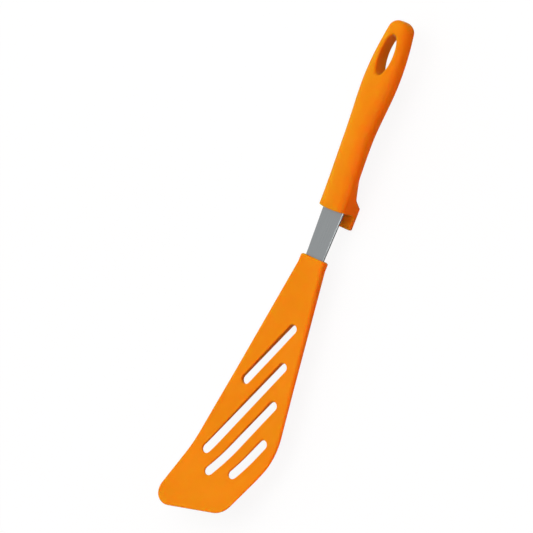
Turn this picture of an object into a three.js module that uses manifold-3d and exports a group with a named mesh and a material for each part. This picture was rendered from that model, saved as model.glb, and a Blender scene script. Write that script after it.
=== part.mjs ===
// A slotted kitchen spatula: a handle and a blade, both moulded over the ends of one steel strip.
//
// Millimetres, +Z up, with the spatula lying on the foot of its handle and its front upwards.
// The pieces are drawn around the strip: Y = 0 is the handle's mouth, +Y runs to the butt and
// -Y to the tip, and Z = 0 is the middle of the strip. The group at the end moves the middle
// of the foot to the origin.

import * as THREE from 'three';
import { mergeVertices } from 'three/addons/utils/BufferGeometryUtils.js';
import Module from 'manifold-3d';

const wasm = await Module();
wasm.setup();

// Steel strip
const stripThickness = 2;
const stripMouthWidth = 16; // where it leaves the handle
const stripNeckWidth = 13.8; // where it enters the blade
const stripBareLength = 33.4; // between the handle and the blade
const stripEdgeRound = 0.4;
const stripEndRound = 3;
const stripShoulderRound = 1;
const tangShoulder = 4; // depth inside the mouth where the strip narrows to its tang
const tangStep = 2.25; // by how much it narrows there, on each side
const tangEndWall = 9; // plastic between the end of the tang and the hanging eye
const tongueEndWall = 16; // plastic between the strip's end inside the neck and the first slot
const keyHoleDiameter = 5; // punched holes that the plastic fills
const keyHolesEachEnd = 2;
const mouldingGap = 0.3; // between the strip and the plastic around it

// Grip
const handleLength = 130.6; // mouth to butt
const gripSquareness = 2.4; // 2 is an ellipse
const buttSquareness = 3; // from the hanging eye to the butt
const mouthRise = 2.2; // the widest level of the mouth above the middle of the strip
const mouthFront = 6.1; // from that level to the front of the mouth
const mouthSideWall = 1.75; // plastic beside the strip
const mouthCrown = 80; // radius of the mouth's edge, seen from the front
const waistAt = 47; // from the mouth
const waistSideWall = 3.6; // plastic beside the tang at the waist
const bellyAt = 58;
const bellyThickness = 17.6;
const bellyBackWall = 2.9; // plastic behind the tang
const palmSetback = 41.6; // from the butt
const palmWidth = 23.5;
const buttWidth = 14;
const buttFront = 9.3; // from the widest level of the butt to its front
const buttBack = 3.6; // from there to its back
const buttSink = 2.7; // how far the widest level of the grip sinks towards the butt
const buttRound = 5.3; // at the two corners of the butt, seen from the front
const buttThinning = 0.85; // how much of its thickness the butt loses at its very end

// Hanging eye
const eyeSetback = 24.1; // from the butt to the middle of the eye
const eyeLength = 28;
const eyeWidth = 9.8;
const eyeLip = 1.5; // radius of its rounded rims

// Foot and pot-rim hook under the mouth
const footDrop = 16.4; // from the middle of the strip to the flat of the foot
const footHeel = 5.8; // how far the flat of the foot runs under the grip
const footCorner = 0.4; // what the flat of the foot takes off the hook's rounded underside
const hookReach = 9.3; // how far the hook stands out past the mouth
const hookThickness = 5.4;
const hookSquareness = 9;
const hookEndRound = 1;
const hookRootRound = 1.5;
const heelRadius = 40; // hollow sweep from the grip down to the ramp
const sweepDrop = 2.9; // how far the sweep goes down
const rampLength = 4.7; // straight slope from there down to the foot

// Blade, with distances along it measured from the top of the neck
const neckSideWall = 2.85; // plastic beside the strip
const neckFaceWall = 2.3; // plastic in front of the strip and behind it
const neckLength = 6; // before the sides spread
const neckRound = 1.5;
const bladeLength = 178.1; // to the lower edge, on the middle line
const leftSpread = 10.1; // degrees
const rightSpread = 8.25;
const shoulderSetback = 50.2; // from the lower edge up to where the right side turns in
const shoulderRound = 52;
const toeSlant = 18.5; // degrees from the middle line to the slanting edge below the shoulder
const toeRound = 11.9;
const tipRound = 10.3;
const lowerEdgeSlant = 13; // degrees
const thinSetback = 36.8;
const thinThickness = 2.1; // that far above the lower edge
const lipThickness = 1.1; // at the lower edge
const bladeEdgeRound = 1.2;
const bendSetback = 44; // from the lower edge up to where the blade bends forward
const bendRadius = 53;
const bendAngle = 17.4; // degrees

// Slots in the blade
const slotWidth = 6.5;
const slotSlant = 24.6; // degrees from the middle line
const firstSlotAt = 59.25; // where the first slot crosses the middle line
const slotPitch = 32.8; // along the middle line
const lastSlotSetback = 14; // slots repeat until they cross the middle line this near the lower edge
const slotRightMargin = 7; // from the right side to the line that the upper ends keep to, at the neck
const slotRightSpread = 7.5; // degrees, along that line
const slotLeftMargin = 6.45; // the same for the lower ends on the left
const slotLeftSpread = 9.45;
const slotLowerMargin = 24.4; // left between a slot and the lower edge

// Fineness of the facets
const gripSides = 36;
const gripStep = 4;
const roundSteps = 4;
const edgeSteps = 3;
const bladeSteps = 64;
const eyeSides = 32;
const mouthSteps = 10;
const stripArcSteps = 4;
const stripEdgeSteps = 2;
const slotArcSteps = 6;

// Sizes that follow from those above
const neckTop = -stripBareLength;
const mouthHalf = stripMouthWidth / 2 + mouthSideWall;
const neckHalf = stripNeckWidth / 2 + neckSideWall;
const neckThickness = stripThickness + 2 * neckFaceWall;
const eyeAt = handleLength - eyeSetback;
const tangLength = eyeAt - eyeLength / 2 - tangEndWall;
const tangWidth = stripMouthWidth - 2 * tangStep;
const gripRise = bellyThickness / 2 - bellyBackWall - mouldingGap - stripThickness / 2;
const waistWidth = tangWidth + 2 * waistSideWall;
const palmAt = handleLength - palmSetback;
const shoulderAt = bladeLength - shoulderSetback;
const thinAt = bladeLength - thinSetback;
const bendAt = bladeLength - bendSetback;
const slotCount = 1 + Math.floor((bladeLength - lastSlotSetback - firstSlotAt) / slotPitch);
const leftSlope = Math.tan(THREE.MathUtils.degToRad(leftSpread));
const rightSlope = Math.tan(THREE.MathUtils.degToRad(rightSpread));
const toeSlope = Math.tan(THREE.MathUtils.degToRad(toeSlant));
const lowerSlope = Math.tan(THREE.MathUtils.degToRad(lowerEdgeSlant));
const slotSlope = Math.tan(THREE.MathUtils.degToRad(slotSlant));
const slotRightSlope = Math.tan(THREE.MathUtils.degToRad(slotRightSpread));
const slotLeftSlope = Math.tan(THREE.MathUtils.degToRad(slotLeftSpread));
const bendTurn = THREE.MathUtils.degToRad(bendAngle);
const tongueLength = slotEnds(0).upper - slotWidth / 2 - tongueEndWall;

// Solids and lofts

function solidOf(geometry) {
  const bare = geometry.clone();
  bare.deleteAttribute('normal');
  bare.deleteAttribute('uv');
  const merged = mergeVertices(bare, 1e-4);
  return new wasm.Manifold(new wasm.Mesh({
    numProp: 3,
    vertProperties: merged.attributes.position.array,
    triVerts: new Uint32Array(merged.index.array),
  }));
}

function geometryOf(solid) {
  const { numProp, vertProperties, triVerts } = solid.getMesh();
  const positions = [];
  for (const corner of triVerts) {
    positions.push(...vertProperties.slice(corner * numProp, corner * numProp + 3));
  }
  const geometry = new THREE.BufferGeometry();
  geometry.setAttribute('position', new THREE.Float32BufferAttribute(positions, 3));
  geometry.computeVertexNormals();
  return geometry;
}

// A closed skin over rings of equally many points, each running anticlockwise about the way
// that the rings advance. The two ends are closed by fans.
function loft(rings) {
  const sides = rings[0].length;
  const points = rings.flat();
  const faces = [];
  for (let r = 0; r + 1 < rings.length; r++) {
    for (let i = 0; i < sides; i++) {
      const here = r * sides + i;
      const beside = r * sides + (i + 1) % sides;
      faces.push(here, beside, beside + sides, here, beside + sides, here + sides);
    }
  }
  const lastRing = (rings.length - 1) * sides;
  const firstHub = points.length;
  const lastHub = firstHub + 1;
  for (const ring of [rings[0], rings.at(-1)]) {
    const hub = new THREE.Vector3();
    ring.forEach((point) => hub.addScaledVector(point, 1 / sides));
    points.push(hub);
  }
  for (let i = 0; i < sides; i++) {
    const next = (i + 1) % sides;
    faces.push(firstHub, next, i);
    faces.push(lastHub, lastRing + i, lastRing + next);
  }
  const geometry = new THREE.BufferGeometry().setFromPoints(points);
  geometry.setIndex(faces);
  return geometry;
}

// Steps round a quarter circle at the end of a loft: how far each ring lies from the very end,
// and how far it is drawn in.
function roundedEnd(radius) {
  const steps = [];
  for (let i = 0; i <= roundSteps; i++) {
    const angle = Math.PI / 2 * i / roundSteps;
    steps.push({
      fromEnd: radius * (1 - Math.sin(angle)),
      inset: radius * (1 - Math.cos(angle)),
    });
  }
  return steps;
}

// Straight runs joined by arcs. A corner is [x, y, radius], sharp where it gives no radius, and the
// path stops where the arc at the last but one corner ends, so the last only gives a direction.
function roundedPath(path, corners) {
  path.moveTo(corners[0][0], corners[0][1]);
  for (let i = 1; i + 1 < corners.length; i++) {
    const corner = new THREE.Vector2(corners[i][0], corners[i][1]);
    const radius = corners[i][2] ?? 0;
    if (radius === 0) {
      path.lineTo(corner.x, corner.y);
      continue;
    }
    const back = new THREE.Vector2(corners[i - 1][0], corners[i - 1][1]).sub(corner).normalize();
    const ahead = new THREE.Vector2(corners[i + 1][0], corners[i + 1][1]).sub(corner).normalize();
    const half = Math.acos(back.dot(ahead)) / 2;
    const start = corner.clone().addScaledVector(back, radius / Math.tan(half));
    const end = corner.clone().addScaledVector(ahead, radius / Math.tan(half));
    const middle = back.clone().add(ahead).normalize().multiplyScalar(radius / Math.sin(half)).add(corner);
    const startAngle = Math.atan2(start.y - middle.y, start.x - middle.x);
    const endAngle = Math.atan2(end.y - middle.y, end.x - middle.x);
    path.lineTo(start.x, start.y);
    path.absarc(middle.x, middle.y, radius, startAngle, endAngle, back.cross(ahead) > 0);
  }
  return path;
}

// Steel strip, and the pocket that it leaves in the plastic

function keyHolePlaces() {
  const places = [];
  for (let i = 1; i <= keyHolesEachEnd; i++) {
    const share = i / (keyHolesEachEnd + 1);
    places.push(tangLength * share);
    places.push(neckTop - tongueLength * share);
  }
  return places;
}

// The flat outline of the strip, grown on every side by a margin: 0 for the strip itself and the
// moulding gap for its pocket, whose holes are the posts of plastic that key the strip.
function stripOutline(grow) {
  const tangHalf = tangWidth / 2 + grow;
  const mouth = stripMouthWidth / 2 + grow;
  const neck = stripNeckWidth / 2 + grow;
  const top = tangLength + grow;
  const bottom = neckTop - tongueLength - grow;
  const shoulderEnd = tangShoulder + mouth - tangHalf;
  const side = [
    [neck, bottom, stripEndRound],
    [neck, neckTop],
    [mouth, 0],
    [mouth, tangShoulder, stripShoulderRound],
    [tangHalf, shoulderEnd, stripShoulderRound],
    [tangHalf, top, stripEndRound],
  ];
  const mirrored = side.map(([x, y, radius]) => [-x, y, radius]).reverse();
  const start = [0, bottom, 0];
  const outline = roundedPath(new THREE.Shape(), [start, ...side, ...mirrored, start]);
  outline.closePath();
  for (const y of keyHolePlaces()) {
    const hole = new THREE.Path();
    hole.absarc(0, y, keyHoleDiameter / 2 - grow, 0, Math.PI);
    hole.absarc(0, y, keyHoleDiameter / 2 - grow, Math.PI, 2 * Math.PI);
    outline.holes.push(hole);
  }
  return outline;
}

function stripGeometry() {
  const flatDepth = stripThickness - 2 * stripEdgeRound;
  const geometry = new THREE.ExtrudeGeometry(stripOutline(0), {
    depth: flatDepth,
    bevelThickness: stripEdgeRound,
    bevelSize: stripEdgeRound,
    bevelOffset: -stripEdgeRound,
    bevelSegments: stripEdgeSteps,
    curveSegments: stripArcSteps,
  });
  geometry.translate(0, 0, -flatDepth / 2);
  return geometry;
}

function stripPocket() {
  const depth = stripThickness + 2 * mouldingGap;
  const geometry = new THREE.ExtrudeGeometry(stripOutline(mouldingGap), {
    depth,
    bevelEnabled: false,
    curveSegments: stripArcSteps,
  });
  geometry.translate(0, 0, -depth / 2);
  return solidOf(geometry);
}

// Handle

function blend(from, to, share) {
  return from + (to - from) * share;
}

function gripHalfWidth(y) {
  if (y < waistAt) {
    return blend(mouthHalf, waistWidth / 2, THREE.MathUtils.smoothstep(y, 0, waistAt));
  }
  if (y < palmAt) {
    return blend(waistWidth / 2, palmWidth / 2, THREE.MathUtils.smoothstep(y, waistAt, palmAt));
  }
  return blend(palmWidth / 2, buttWidth / 2, ((y - palmAt) / (handleLength - palmAt)) ** 2);
}

// The level at which the grip is widest, above the middle of the strip.
function gripMiddle(y) {
  const rise = blend(mouthRise, gripRise, THREE.MathUtils.smoothstep(y, 0, bellyAt));
  return rise - buttSink * THREE.MathUtils.smoothstep(y, bellyAt, handleLength);
}

function gripFront(y) {
  if (y < bellyAt) {
    return blend(mouthFront, bellyThickness / 2, THREE.MathUtils.smoothstep(y, 0, bellyAt));
  }
  return blend(bellyThickness / 2, buttFront, THREE.MathUtils.smoothstep(y, bellyAt, handleLength));
}

function gripBack(y) {
  return blend(bellyThickness / 2, buttBack, THREE.MathUtils.smoothstep(y, bellyAt, handleLength));
}

// How far the heel takes the back of the grip down: a hollow sweep, then a straight ramp.
const fullHeelDrop = footDrop + footCorner + gripMiddle(footHeel) - gripBack(footHeel);
const rampTop = footHeel + rampLength;
const rampSlope = (fullHeelDrop - sweepDrop) / rampLength;
const sweepStart = rampTop + Math.sqrt(heelRadius ** 2 - (heelRadius - sweepDrop) ** 2);

function heelDrop(y) {
  const alongSweep = THREE.MathUtils.clamp(sweepStart - y, 0, sweepStart - rampTop);
  const alongRamp = THREE.MathUtils.clamp(rampTop - y, 0, rampLength);
  return heelRadius - Math.sqrt(heelRadius ** 2 - alongSweep ** 2) + alongRamp * rampSlope;
}

// One section of the handle: an oval whose back half grows deep and square towards the foot. Near
// the ends of the handle it is made narrower, and thinner at its front and back.
function gripSection(y, narrower, thinnerFront, thinnerBack) {
  const halfWidth = gripHalfWidth(y) - narrower;
  const middle = gripMiddle(y);
  const front = gripFront(y) - thinnerFront;
  const back = gripBack(y) + heelDrop(y) - thinnerBack;
  const footShare = Math.sqrt(heelDrop(y) / fullHeelDrop);
  const toEye = THREE.MathUtils.smoothstep(y, bellyAt, eyeAt);
  const frontSquareness = blend(gripSquareness, buttSquareness, toEye);
  const backSquareness = blend(frontSquareness, hookSquareness, footShare);
  const ring = [];
  for (let i = 0; i < gripSides; i++) {
    const angle = 2 * Math.PI * i / gripSides;
    const across = Math.sin(angle);
    const up = Math.cos(angle);
    const power = 2 / (up > 0 ? frontSquareness : backSquareness);
    const x = halfWidth * Math.sign(across) * Math.abs(across) ** power;
    const z = middle + (up > 0 ? front : back) * Math.sign(up) * Math.abs(up) ** power;
    ring.push(new THREE.Vector3(x, y, Math.max(z, thinnerBack - footDrop)));
  }
  return ring;
}

// Rings lie on the corners at both ends of the ramp, and evenly between the corners.
function gripBody() {
  const rings = [];
  for (const { fromEnd, inset } of roundedEnd(hookEndRound).reverse()) {
    rings.push(gripSection(fromEnd - hookReach, inset, inset, inset));
  }
  const corners = [hookEndRound - hookReach, footHeel, rampTop, handleLength - buttRound];
  for (let c = 1; c < corners.length; c++) {
    const steps = Math.ceil((corners[c] - corners[c - 1]) / gripStep);
    for (let i = 1; i <= steps; i++) {
      rings.push(gripSection(blend(corners[c - 1], corners[c], i / steps), 0, 0, 0));
    }
  }
  for (const { fromEnd, inset } of roundedEnd(buttRound).slice(1)) {
    const thinning = buttThinning * inset / buttRound;
    rings.push(gripSection(handleLength - fromEnd, inset, thinning * buttFront, thinning * buttBack));
  }
  return solidOf(loft(rings));
}

// Frees the hook below the mouth, with a rounded root and the mouth's crowned edge.
function hookGap() {
  const half = mouthHalf + hookRootRound;
  const turn = Math.asin(half / mouthCrown);
  const edge = mouthCrown * (1 - Math.cos(turn));
  const wellOut = half + hookReach;
  const wellBelow = -2 * hookReach;
  const outline = new THREE.Shape();
  outline.moveTo(-wellOut, edge);
  outline.lineTo(-wellOut, wellBelow);
  outline.lineTo(wellOut, wellBelow);
  outline.lineTo(wellOut, edge);
  outline.absarc(0, mouthCrown, mouthCrown, turn - Math.PI / 2, -turn - Math.PI / 2, true);
  const height = footDrop + gripRise + bellyThickness;
  const geometry = new THREE.ExtrudeGeometry(outline, {
    depth: height,
    bevelThickness: hookRootRound,
    bevelSize: hookRootRound,
    bevelOffset: -hookRootRound,
    bevelSegments: roundSteps,
    curveSegments: mouthSteps,
  });
  geometry.translate(0, 0, hookThickness - footDrop + hookRootRound);
  return solidOf(geometry);
}

// The hanging eye: a long oval hole right through, with rims that open out in a quarter round.
function hangingEye() {
  const middle = gripMiddle(eyeAt);
  const front = gripFront(eyeAt);
  const back = gripBack(eyeAt);
  const rim = [...roundedEnd(eyeLip), { fromEnd: -eyeLip, inset: eyeLip }];
  const upwards = rim.map(({ fromEnd, inset }) => [front - fromEnd, inset]);
  const downwards = rim.map(({ fromEnd, inset }) => [fromEnd - back, inset]);
  const places = [...downwards.reverse(), ...upwards];
  const rings = places.map(([height, open]) => {
    const ring = [];
    for (let i = 0; i < eyeSides; i++) {
      const angle = 2 * Math.PI * i / eyeSides;
      const x = (eyeWidth / 2 + open) * Math.cos(angle);
      const y = eyeAt + (eyeLength / 2 + open) * Math.sin(angle);
      ring.push(new THREE.Vector3(x, y, middle + height));
    }
    return ring;
  });
  return solidOf(loft(rings));
}

function handleGeometry() {
  const body = gripBody().subtract(hookGap()).subtract(hangingEye());
  return geometryOf(body.subtract(stripPocket()));
}

// Blade

function bladeThickness(along) {
  if (along < thinAt) {
    const share = Math.max(along - neckLength, 0) / (thinAt - neckLength);
    return blend(neckThickness, thinThickness, share);
  }
  return blend(thinThickness, lipThickness, Math.min((along - thinAt) / (bladeLength - thinAt), 1));
}

// Height of the blade's middle: flat, then an arc, then a straight rise to the tip.
function bladeMiddle(along) {
  const past = Math.max(along - bendAt, 0);
  const arcLength = bendRadius * Math.sin(bendTurn);
  const onArc = Math.min(past, arcLength);
  return bendRadius - Math.sqrt(bendRadius ** 2 - onArc ** 2) + (past - onArc) * Math.tan(bendTurn);
}

function leftSide(along) {
  return -neckHalf - (along - neckLength) * leftSlope;
}

function rightSide(along) {
  return neckHalf + (along - neckLength) * rightSlope;
}

// The two edges of the blade as [x, distance along], from the neck to the ends of the lower edge.
function bladeEdges() {
  const tipAlong = (bladeLength - lowerSlope * leftSide(0)) / (1 - lowerSlope * leftSlope);
  const tip = leftSide(tipAlong);
  const shoulder = rightSide(shoulderAt);
  const slantTop = shoulder + toeSlope * shoulderAt;
  const toeAlong = (bladeLength - lowerSlope * slantTop) / (1 - lowerSlope * toeSlope);
  const toe = slantTop - toeSlope * toeAlong;
  const left = roundedPath(new THREE.Path(), [
    [-neckHalf, neckRound],
    [-neckHalf, neckLength, neckLength],
    [tip, tipAlong, tipRound],
    [toe, toeAlong],
  ]);
  const right = roundedPath(new THREE.Path(), [
    [neckHalf, neckRound],
    [neckHalf, neckLength, neckLength],
    [shoulder, shoulderAt, shoulderRound],
    [toe, toeAlong, toeRound],
    [tip, tipAlong],
  ]);
  return { left: left.getSpacedPoints(bladeSteps), right: right.getSpacedPoints(bladeSteps) };
}

// One section across the blade, with round edges no thicker than the blade itself.
function bladeSection(right, left, inset) {
  const ring = [];
  const reach = left.distanceTo(right);
  const ends = [{ edge: right, other: left, turn: -1 }, { edge: left, other: right, turn: 1 }];
  for (const { edge, other, turn } of ends) {
    for (let i = 0; i <= 2 * edgeSteps; i++) {
      const angle = Math.PI / 2 * (i / edgeSteps - 1);
      const half = bladeThickness(edge.y) / 2 - inset;
      const round = Math.min(bladeEdgeRound, half);
      const inward = inset + round * (1 - Math.cos(angle));
      const place = edge.clone().lerp(other, inward / reach);
      const height = (half - round) * Math.sign(angle) + round * Math.sin(angle);
      ring.push(new THREE.Vector3(place.x, neckTop - place.y, bladeMiddle(place.y) - turn * height));
    }
  }
  return ring;
}

function bladeBody() {
  const { left, right } = bladeEdges();
  const rings = roundedEnd(neckRound).reverse().map(({ fromEnd, inset }) => bladeSection(
    new THREE.Vector2(neckHalf, fromEnd),
    new THREE.Vector2(-neckHalf, fromEnd),
    inset,
  ));
  for (let i = 1; i <= bladeSteps; i++) {
    rings.push(bladeSection(right[i], left[i], 0));
  }
  return solidOf(loft(rings));
}

// A slot runs from the right margin down to the left margin or the lower one, whichever it
// meets first. Its ends are the middles of its two round ends.
function slotEnds(index) {
  const crossing = firstSlotAt + index * slotPitch;
  const reach = slotSlope * crossing;
  const rightHalf = neckHalf - slotRightMargin - slotWidth / 2 - neckLength * slotRightSlope;
  const leftHalf = neckHalf - slotLeftMargin - slotWidth / 2 - neckLength * slotLeftSlope;
  const upper = (reach - rightHalf) / (slotSlope + slotRightSlope);
  const leftEnd = (reach + leftHalf) / (slotSlope - slotLeftSlope);
  const lowest = bladeLength - slotLowerMargin - slotWidth / 2;
  const lowerEnd = (lowest - lowerSlope * reach) / (1 - lowerSlope * slotSlope);
  return { crossing, upper, lower: Math.min(leftEnd, lowerEnd) };
}

function slotSolid(index) {
  const { crossing, upper, lower } = slotEnds(index);
  const slant = THREE.MathUtils.degToRad(slotSlant);
  const half = (lower - upper) / Math.cos(slant) / 2;
  const outline = new THREE.Shape();
  outline.absarc(0, half, slotWidth / 2, 0, Math.PI);
  outline.absarc(0, -half, slotWidth / 2, Math.PI, 2 * Math.PI);
  const height = 2 * (neckThickness + bladeMiddle(bladeLength));
  const geometry = new THREE.ExtrudeGeometry(outline, {
    depth: height,
    bevelEnabled: false,
    curveSegments: slotArcSteps,
  });
  geometry.translate(0, 0, -height / 2);
  geometry.rotateZ(-slant);
  const along = (upper + lower) / 2;
  geometry.translate(slotSlope * (crossing - along), neckTop - along, 0);
  return solidOf(geometry);
}

function bladeGeometry() {
  let body = bladeBody().subtract(stripPocket());
  for (let i = 0; i < slotCount; i++) {
    body = body.subtract(slotSolid(i));
  }
  return geometryOf(body);
}

// Finishes

const orangePlastic = { color: '#f18a1a', roughness: 0.55, metalness: 0 };
const brushedSteel = { color: '#a3a7a8', roughness: 0.35, metalness: 1 };

function piece(name, geometry, finish) {
  const mesh = new THREE.Mesh(geometry, new THREE.MeshStandardMaterial(finish));
  mesh.name = name;
  return mesh;
}

const spatula = new THREE.Group();
spatula.add(piece('handle', handleGeometry(), orangePlastic));
spatula.add(piece('shank', stripGeometry(), brushedSteel));
spatula.add(piece('blade', bladeGeometry(), orangePlastic));
spatula.position.set(0, (hookReach - footHeel) / 2, footDrop);

export default spatula;
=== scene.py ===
# %% [markdown]
# # A slotted spatula
# A kitchen spatula of three parts: a moulded orange handle, a bare strip of steel, and a moulded
# orange blade with four slanting slots. On the real tool both plastic parts are injected around the
# ends of one steel strip, so there are no screws or rivets. The drawing of the part is loaded first,
# and everything below is built in the same frame, in metres.

# %% Load the drawing
import math
from functools import partial

import bpy
import numpy as np
from mathutils import Matrix, Vector


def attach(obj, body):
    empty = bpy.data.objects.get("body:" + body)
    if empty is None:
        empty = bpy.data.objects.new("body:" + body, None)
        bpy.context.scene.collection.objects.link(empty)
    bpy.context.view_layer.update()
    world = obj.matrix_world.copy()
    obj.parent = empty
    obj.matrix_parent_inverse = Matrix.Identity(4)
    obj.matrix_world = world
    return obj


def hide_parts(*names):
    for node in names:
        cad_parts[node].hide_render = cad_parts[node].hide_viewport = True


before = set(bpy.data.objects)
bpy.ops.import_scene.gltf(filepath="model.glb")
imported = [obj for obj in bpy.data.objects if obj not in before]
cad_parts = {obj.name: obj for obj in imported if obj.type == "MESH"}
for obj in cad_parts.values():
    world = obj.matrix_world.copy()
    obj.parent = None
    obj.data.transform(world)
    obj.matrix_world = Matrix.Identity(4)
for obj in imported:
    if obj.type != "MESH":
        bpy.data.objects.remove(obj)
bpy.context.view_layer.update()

MM = 0.001


print("parts on the drawing:", sorted(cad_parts))

# %% [markdown]
# ## Where things lie
# The sizes below are in millimetres, as a maker would write them. They are measured from the mouth of
# the handle, where the steel comes out: +Y runs to the butt of the handle, -Y to the tip of the blade,
# and Z = 0 is the middle of the steel. The worktop frame of the drawing lies a little lower and
# further along, so one small function carries points over and turns them into metres.

# %% From the mouth of the handle to the worktop
FOOT_DROP = 16.4
FOOT_HEEL = 5.8
HOOK_REACH = 9.3
MOUTH_IN_FRAME = np.array([0.0, (HOOK_REACH - FOOT_HEEL) / 2, FOOT_DROP])


def in_frame(points):
    """Points measured in millimetres from the handle's mouth, as metres in the drawing's frame."""
    return (np.asarray(points, float) + MOUTH_IN_FRAME) * MM


def make_piece(name, points, faces):
    """A smooth-shaded object at the origin from points in millimetres."""
    mesh = bpy.data.meshes.new(name)
    mesh.from_pydata(in_frame(points).tolist(), [], faces.tolist())
    mesh.shade_smooth()
    piece = bpy.data.objects.new(name, mesh)
    bpy.context.scene.collection.objects.link(piece)
    print(name, "has", len(mesh.polygons), "faces")
    return piece


print("mouth of the handle in the frame, m:", in_frame([0, 0, 0]).round(4).tolist())

# %% [markdown]
# ## Carving with distances
# A moulding has no sharp edges: the cutter that made the mould left a radius in every corner. Bevels
# on a mesh fail where several curved walls meet, so the plastic is described by a distance instead: a
# number that is negative inside the plastic and positive outside. Two walls are joined by one formula
# that leaves a true arc of a chosen radius between them, whatever the angle at which they meet.

# %% Joining walls with a radius


def rise(y, start, end):
    """Goes smoothly from 0 at start to 1 at end."""
    share = np.clip((y - start) / (end - start), 0, 1)
    return share * share * (3 - 2 * share)


def blend(a, b, share):
    """Goes straight from a to b."""
    return a + (b - a) * share


def round_edge(wall, other, radius, lean=0.0):
    """Keeps what lies behind both walls and rounds their edge. lean is the cosine between the walls."""
    wall, other = wall + radius, other + radius
    along_wall = (wall - lean * other) / (1 - lean * lean)
    along_other = (other - lean * wall) / (1 - lean * lean)
    on_arc = (along_wall > 0) & (along_other > 0)
    arc = np.sqrt(np.maximum(along_wall * wall + along_other * other, 0))
    return np.where(on_arc, arc, np.maximum(wall, other)) - radius


def slope_of(field, x, y, z, step=0.02):
    """How fast a field grows along X, Y and Z."""
    along_x = field(x + step, y, z) - field(x - step, y, z)
    along_y = field(x, y + step, z) - field(x, y - step, z)
    along_z = field(x, y, z + step) - field(x, y, z - step)
    return np.stack([along_x, along_y, along_z], axis=-1) / (2 * step)


corner = round_edge(np.array([0.0]), np.array([0.0]), 2.0)[0]
print("a 2 mm radius takes", round(float(corner), 3), "mm off a square corner")

# %% [markdown]
# ## Wrapping a skin round the plastic
# To turn a distance into a mesh, space is cut into small cubes. Every cube that the surface passes
# through gets one point, and four neighbouring points make one face. A few steps along the slope of
# the field then pull every point on to the exact surface, so the facets follow the shape closely.

# %% Points and faces from cubes


def skin_points(value):
    """Which cubes the skin passes through, and one point in each, counted in cubes."""
    cubes = [n - 1 for n in value.shape]
    total, hits = np.zeros((*cubes, 3)), np.zeros(cubes)
    for axis in range(3):
        for near in np.ndindex(2, 2, 2):
            if near[axis]:
                continue
            far = tuple(1 if k == axis else near[k] for k in range(3))
            a, b = (value[tuple(slice(o, o + n) for o, n in zip(at, cubes))] for at in (near, far))
            crossed = (a < 0) != (b < 0)
            share = np.divide(a, a - b, out=np.zeros_like(a), where=crossed)
            for k in range(3):
                total[..., k] += crossed * near[k] + (share if k == axis else 0)
            hits += crossed
    busy = hits > 0
    return busy, np.argwhere(busy) + total[busy] / hits[busy][:, None]


def skin_faces(value, busy):
    """Four-sided faces between the points of neighbouring cubes, turned outwards."""
    number = np.full(busy.shape, -1)
    number[busy] = np.arange(busy.sum())
    faces = []
    for axis in range(3):
        order = [(axis + k) % 3 for k in range(3)]
        grid, cell = value.transpose(order), number.transpose(order)
        a, b = grid[:-1, 1:-1, 1:-1], grid[1:, 1:-1, 1:-1]
        around = [cell[:, :-1, :-1], cell[:, 1:, :-1], cell[:, 1:, 1:], cell[:, :-1, 1:]]
        around = np.stack(around, axis=-1)
        faces += [around[(a < 0) & (b >= 0)], around[(a >= 0) & (b < 0)][:, ::-1]]
    return np.concatenate(faces)


block = np.ones((4, 4, 4))
block[1:3, 1:3, 1:3] = -1
block_faces = skin_faces(block, skin_points(block)[0])
print("a block of 8 inner points is wrapped in", len(block_faces), "faces")

# %% Pulling the points on to the skin
MARGIN_CUBES = 3


def settle(field, points, rounds=4, gentlest=0.05, longest=0.3):
    """Moves points along the slope of the field until they lie on its zero surface."""
    for _ in range(rounds):
        slope = slope_of(field, *points.T)
        steepness = np.maximum((slope * slope).sum(axis=1), gentlest)
        step = np.clip(field(*points.T) / steepness, -longest, longest)
        points = points - step[:, None] * slope
    return points


def wrap(field, low, high, cube):
    """The points and faces of the skin where the field changes sign, inside a box."""
    margin = MARGIN_CUBES * cube
    ticks = [np.arange(a - margin, b + margin, cube) for a, b in zip(low, high)]
    value = field(*np.meshgrid(*ticks, indexing="ij"))
    busy, places = skin_points(value)
    points = places * cube + np.array([t[0] for t in ticks])
    return settle(field, points), skin_faces(value, busy)


def ball(x, y, z):
    """The distance to a ball of 2 mm radius, to try the wrapping on."""
    return np.sqrt(x * x + y * y + z * z) - 2


ball_points, ball_faces = wrap(ball, (-2, -2, -2), (2, 2, 2), 0.5)
ball_error = np.abs(ball(*ball_points.T)).max()
print("a small ball gets", len(ball_faces), "faces, off by", ball_error.round(6), "mm at most")

# %% [markdown]
# ## The grip
# The handle starts as a narrow flat neck where the steel enters, swells to a belly in the palm and
# thins again to the butt. Its cross section is a squarish oval, the shape that sits well in closed
# fingers. It could be lofted through a few drawn sections, but smooth curves for width, thickness and
# height give a cleaner surface, and the oval is drawn from them at every point.

# %% The curves along the grip
HANDLE_LENGTH = 130.6
WAIST_AT, BELLY_AT, PALM_AT, EYE_AT = 47.0, 58.0, 89.0, 106.5
MOUTH_HALF, WAIST_HALF, PALM_HALF, BUTT_HALF = 9.75, 9.35, 11.75, 7.0
MOUTH_FRONT, BELLY_HALF, BUTT_FRONT, BUTT_BACK = 6.1, 8.8, 9.3, 3.6
MOUTH_RISE, GRIP_RISE, BUTT_SINK = 2.2, 4.6, 2.7
PAST_THE_BUTT = 1.2


def grip_half_width(y):
    """Half the width of the grip, which narrows ever faster behind the palm."""
    towards_waist = blend(MOUTH_HALF, WAIST_HALF, rise(y, 0, WAIST_AT))
    towards_palm = blend(towards_waist, PALM_HALF, rise(y, WAIST_AT, PALM_AT))
    towards_butt = np.clip((y - PALM_AT) / (HANDLE_LENGTH - PALM_AT), 0, PAST_THE_BUTT) ** 2
    return blend(towards_palm, BUTT_HALF, towards_butt)


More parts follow.
